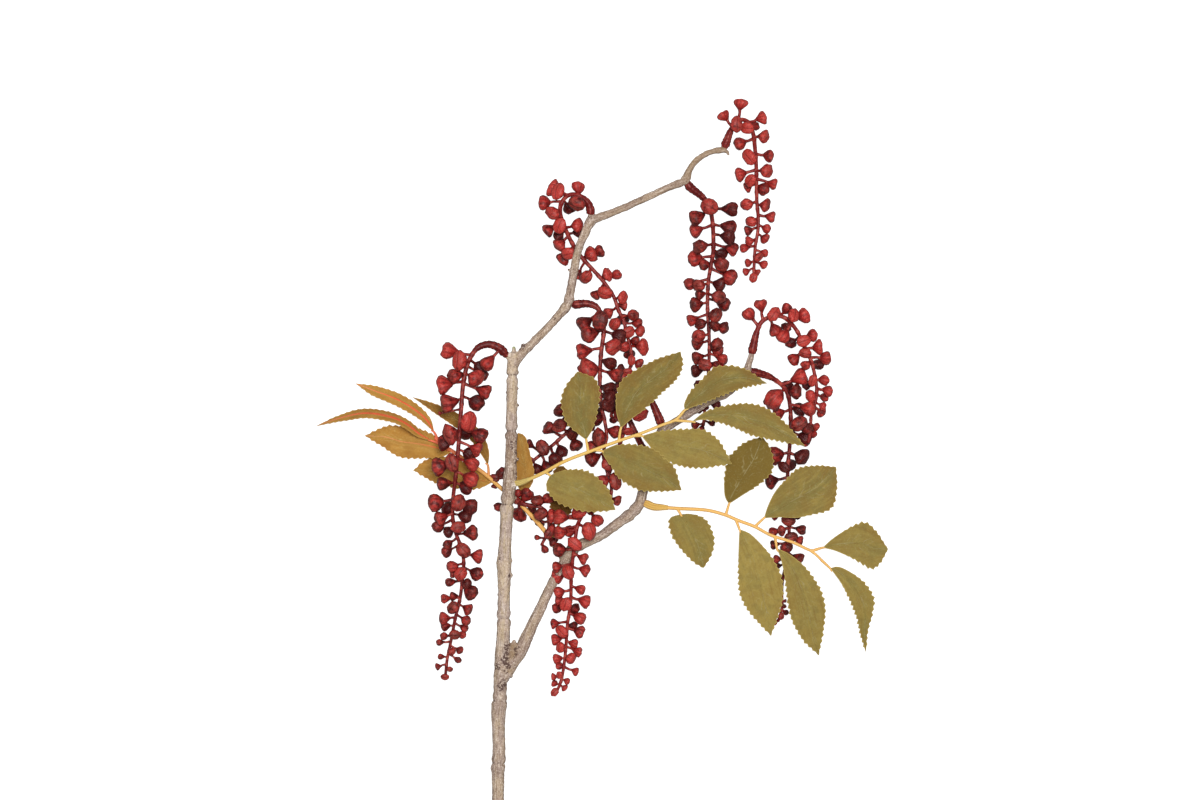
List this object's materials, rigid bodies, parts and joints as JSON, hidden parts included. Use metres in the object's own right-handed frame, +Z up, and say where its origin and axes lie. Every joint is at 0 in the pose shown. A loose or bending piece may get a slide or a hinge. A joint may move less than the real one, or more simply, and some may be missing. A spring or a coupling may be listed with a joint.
{
  "type": "pokeweed berry spray",
  "caption": "Cut branch of pokeweed lying down: a forked bark stem with hanging racemes of dark red stalked berries and toothed leaves in olive and ochre.",
  "frame": {"origin": "on the surface that the spray lies on, under the middle of its bounding box", "axes": "+Z up from the surface, +Y along the main stem from its cut end towards its top, +X to the right as seen from above"},
  "size_m": [0.3723, 0.5424, 0.0497],
  "materials": {
    "bark": "matt grey-brown bark with fine lengthwise fibres, dark specks and ring joints",
    "berry": "satin dark red with a thin grey-brown brushed patina",
    "leaf_olive": "matt printed leaf cloth, olive green with faint pale veins",
    "leaf_ochre": "matt printed leaf cloth, ochre with orange-pink midribs",
    "leaf_stalk": "satin pale yellow stalk, greener or browner at its collar"
  },
  "bodies": {
    "root": {"branch": "bark", "leafy_stem_1_right": "leaf_olive", "leafy_stem_2_lower": "leaf_olive", "leafy_stem_3_left": "leaf_ochre", "berry_raceme_01_top": "berry", "berry_raceme_02": "berry", "berry_raceme_03": "berry", "berry_raceme_04": "berry", "berry_raceme_05_left": "berry", "berry_raceme_06_right": "berry", "berry_raceme_07": "berry", "berry_raceme_08_front": "berry", "berry_raceme_09": "berry", "berry_raceme_10_short": "berry"}
  },
  "joints": []
}
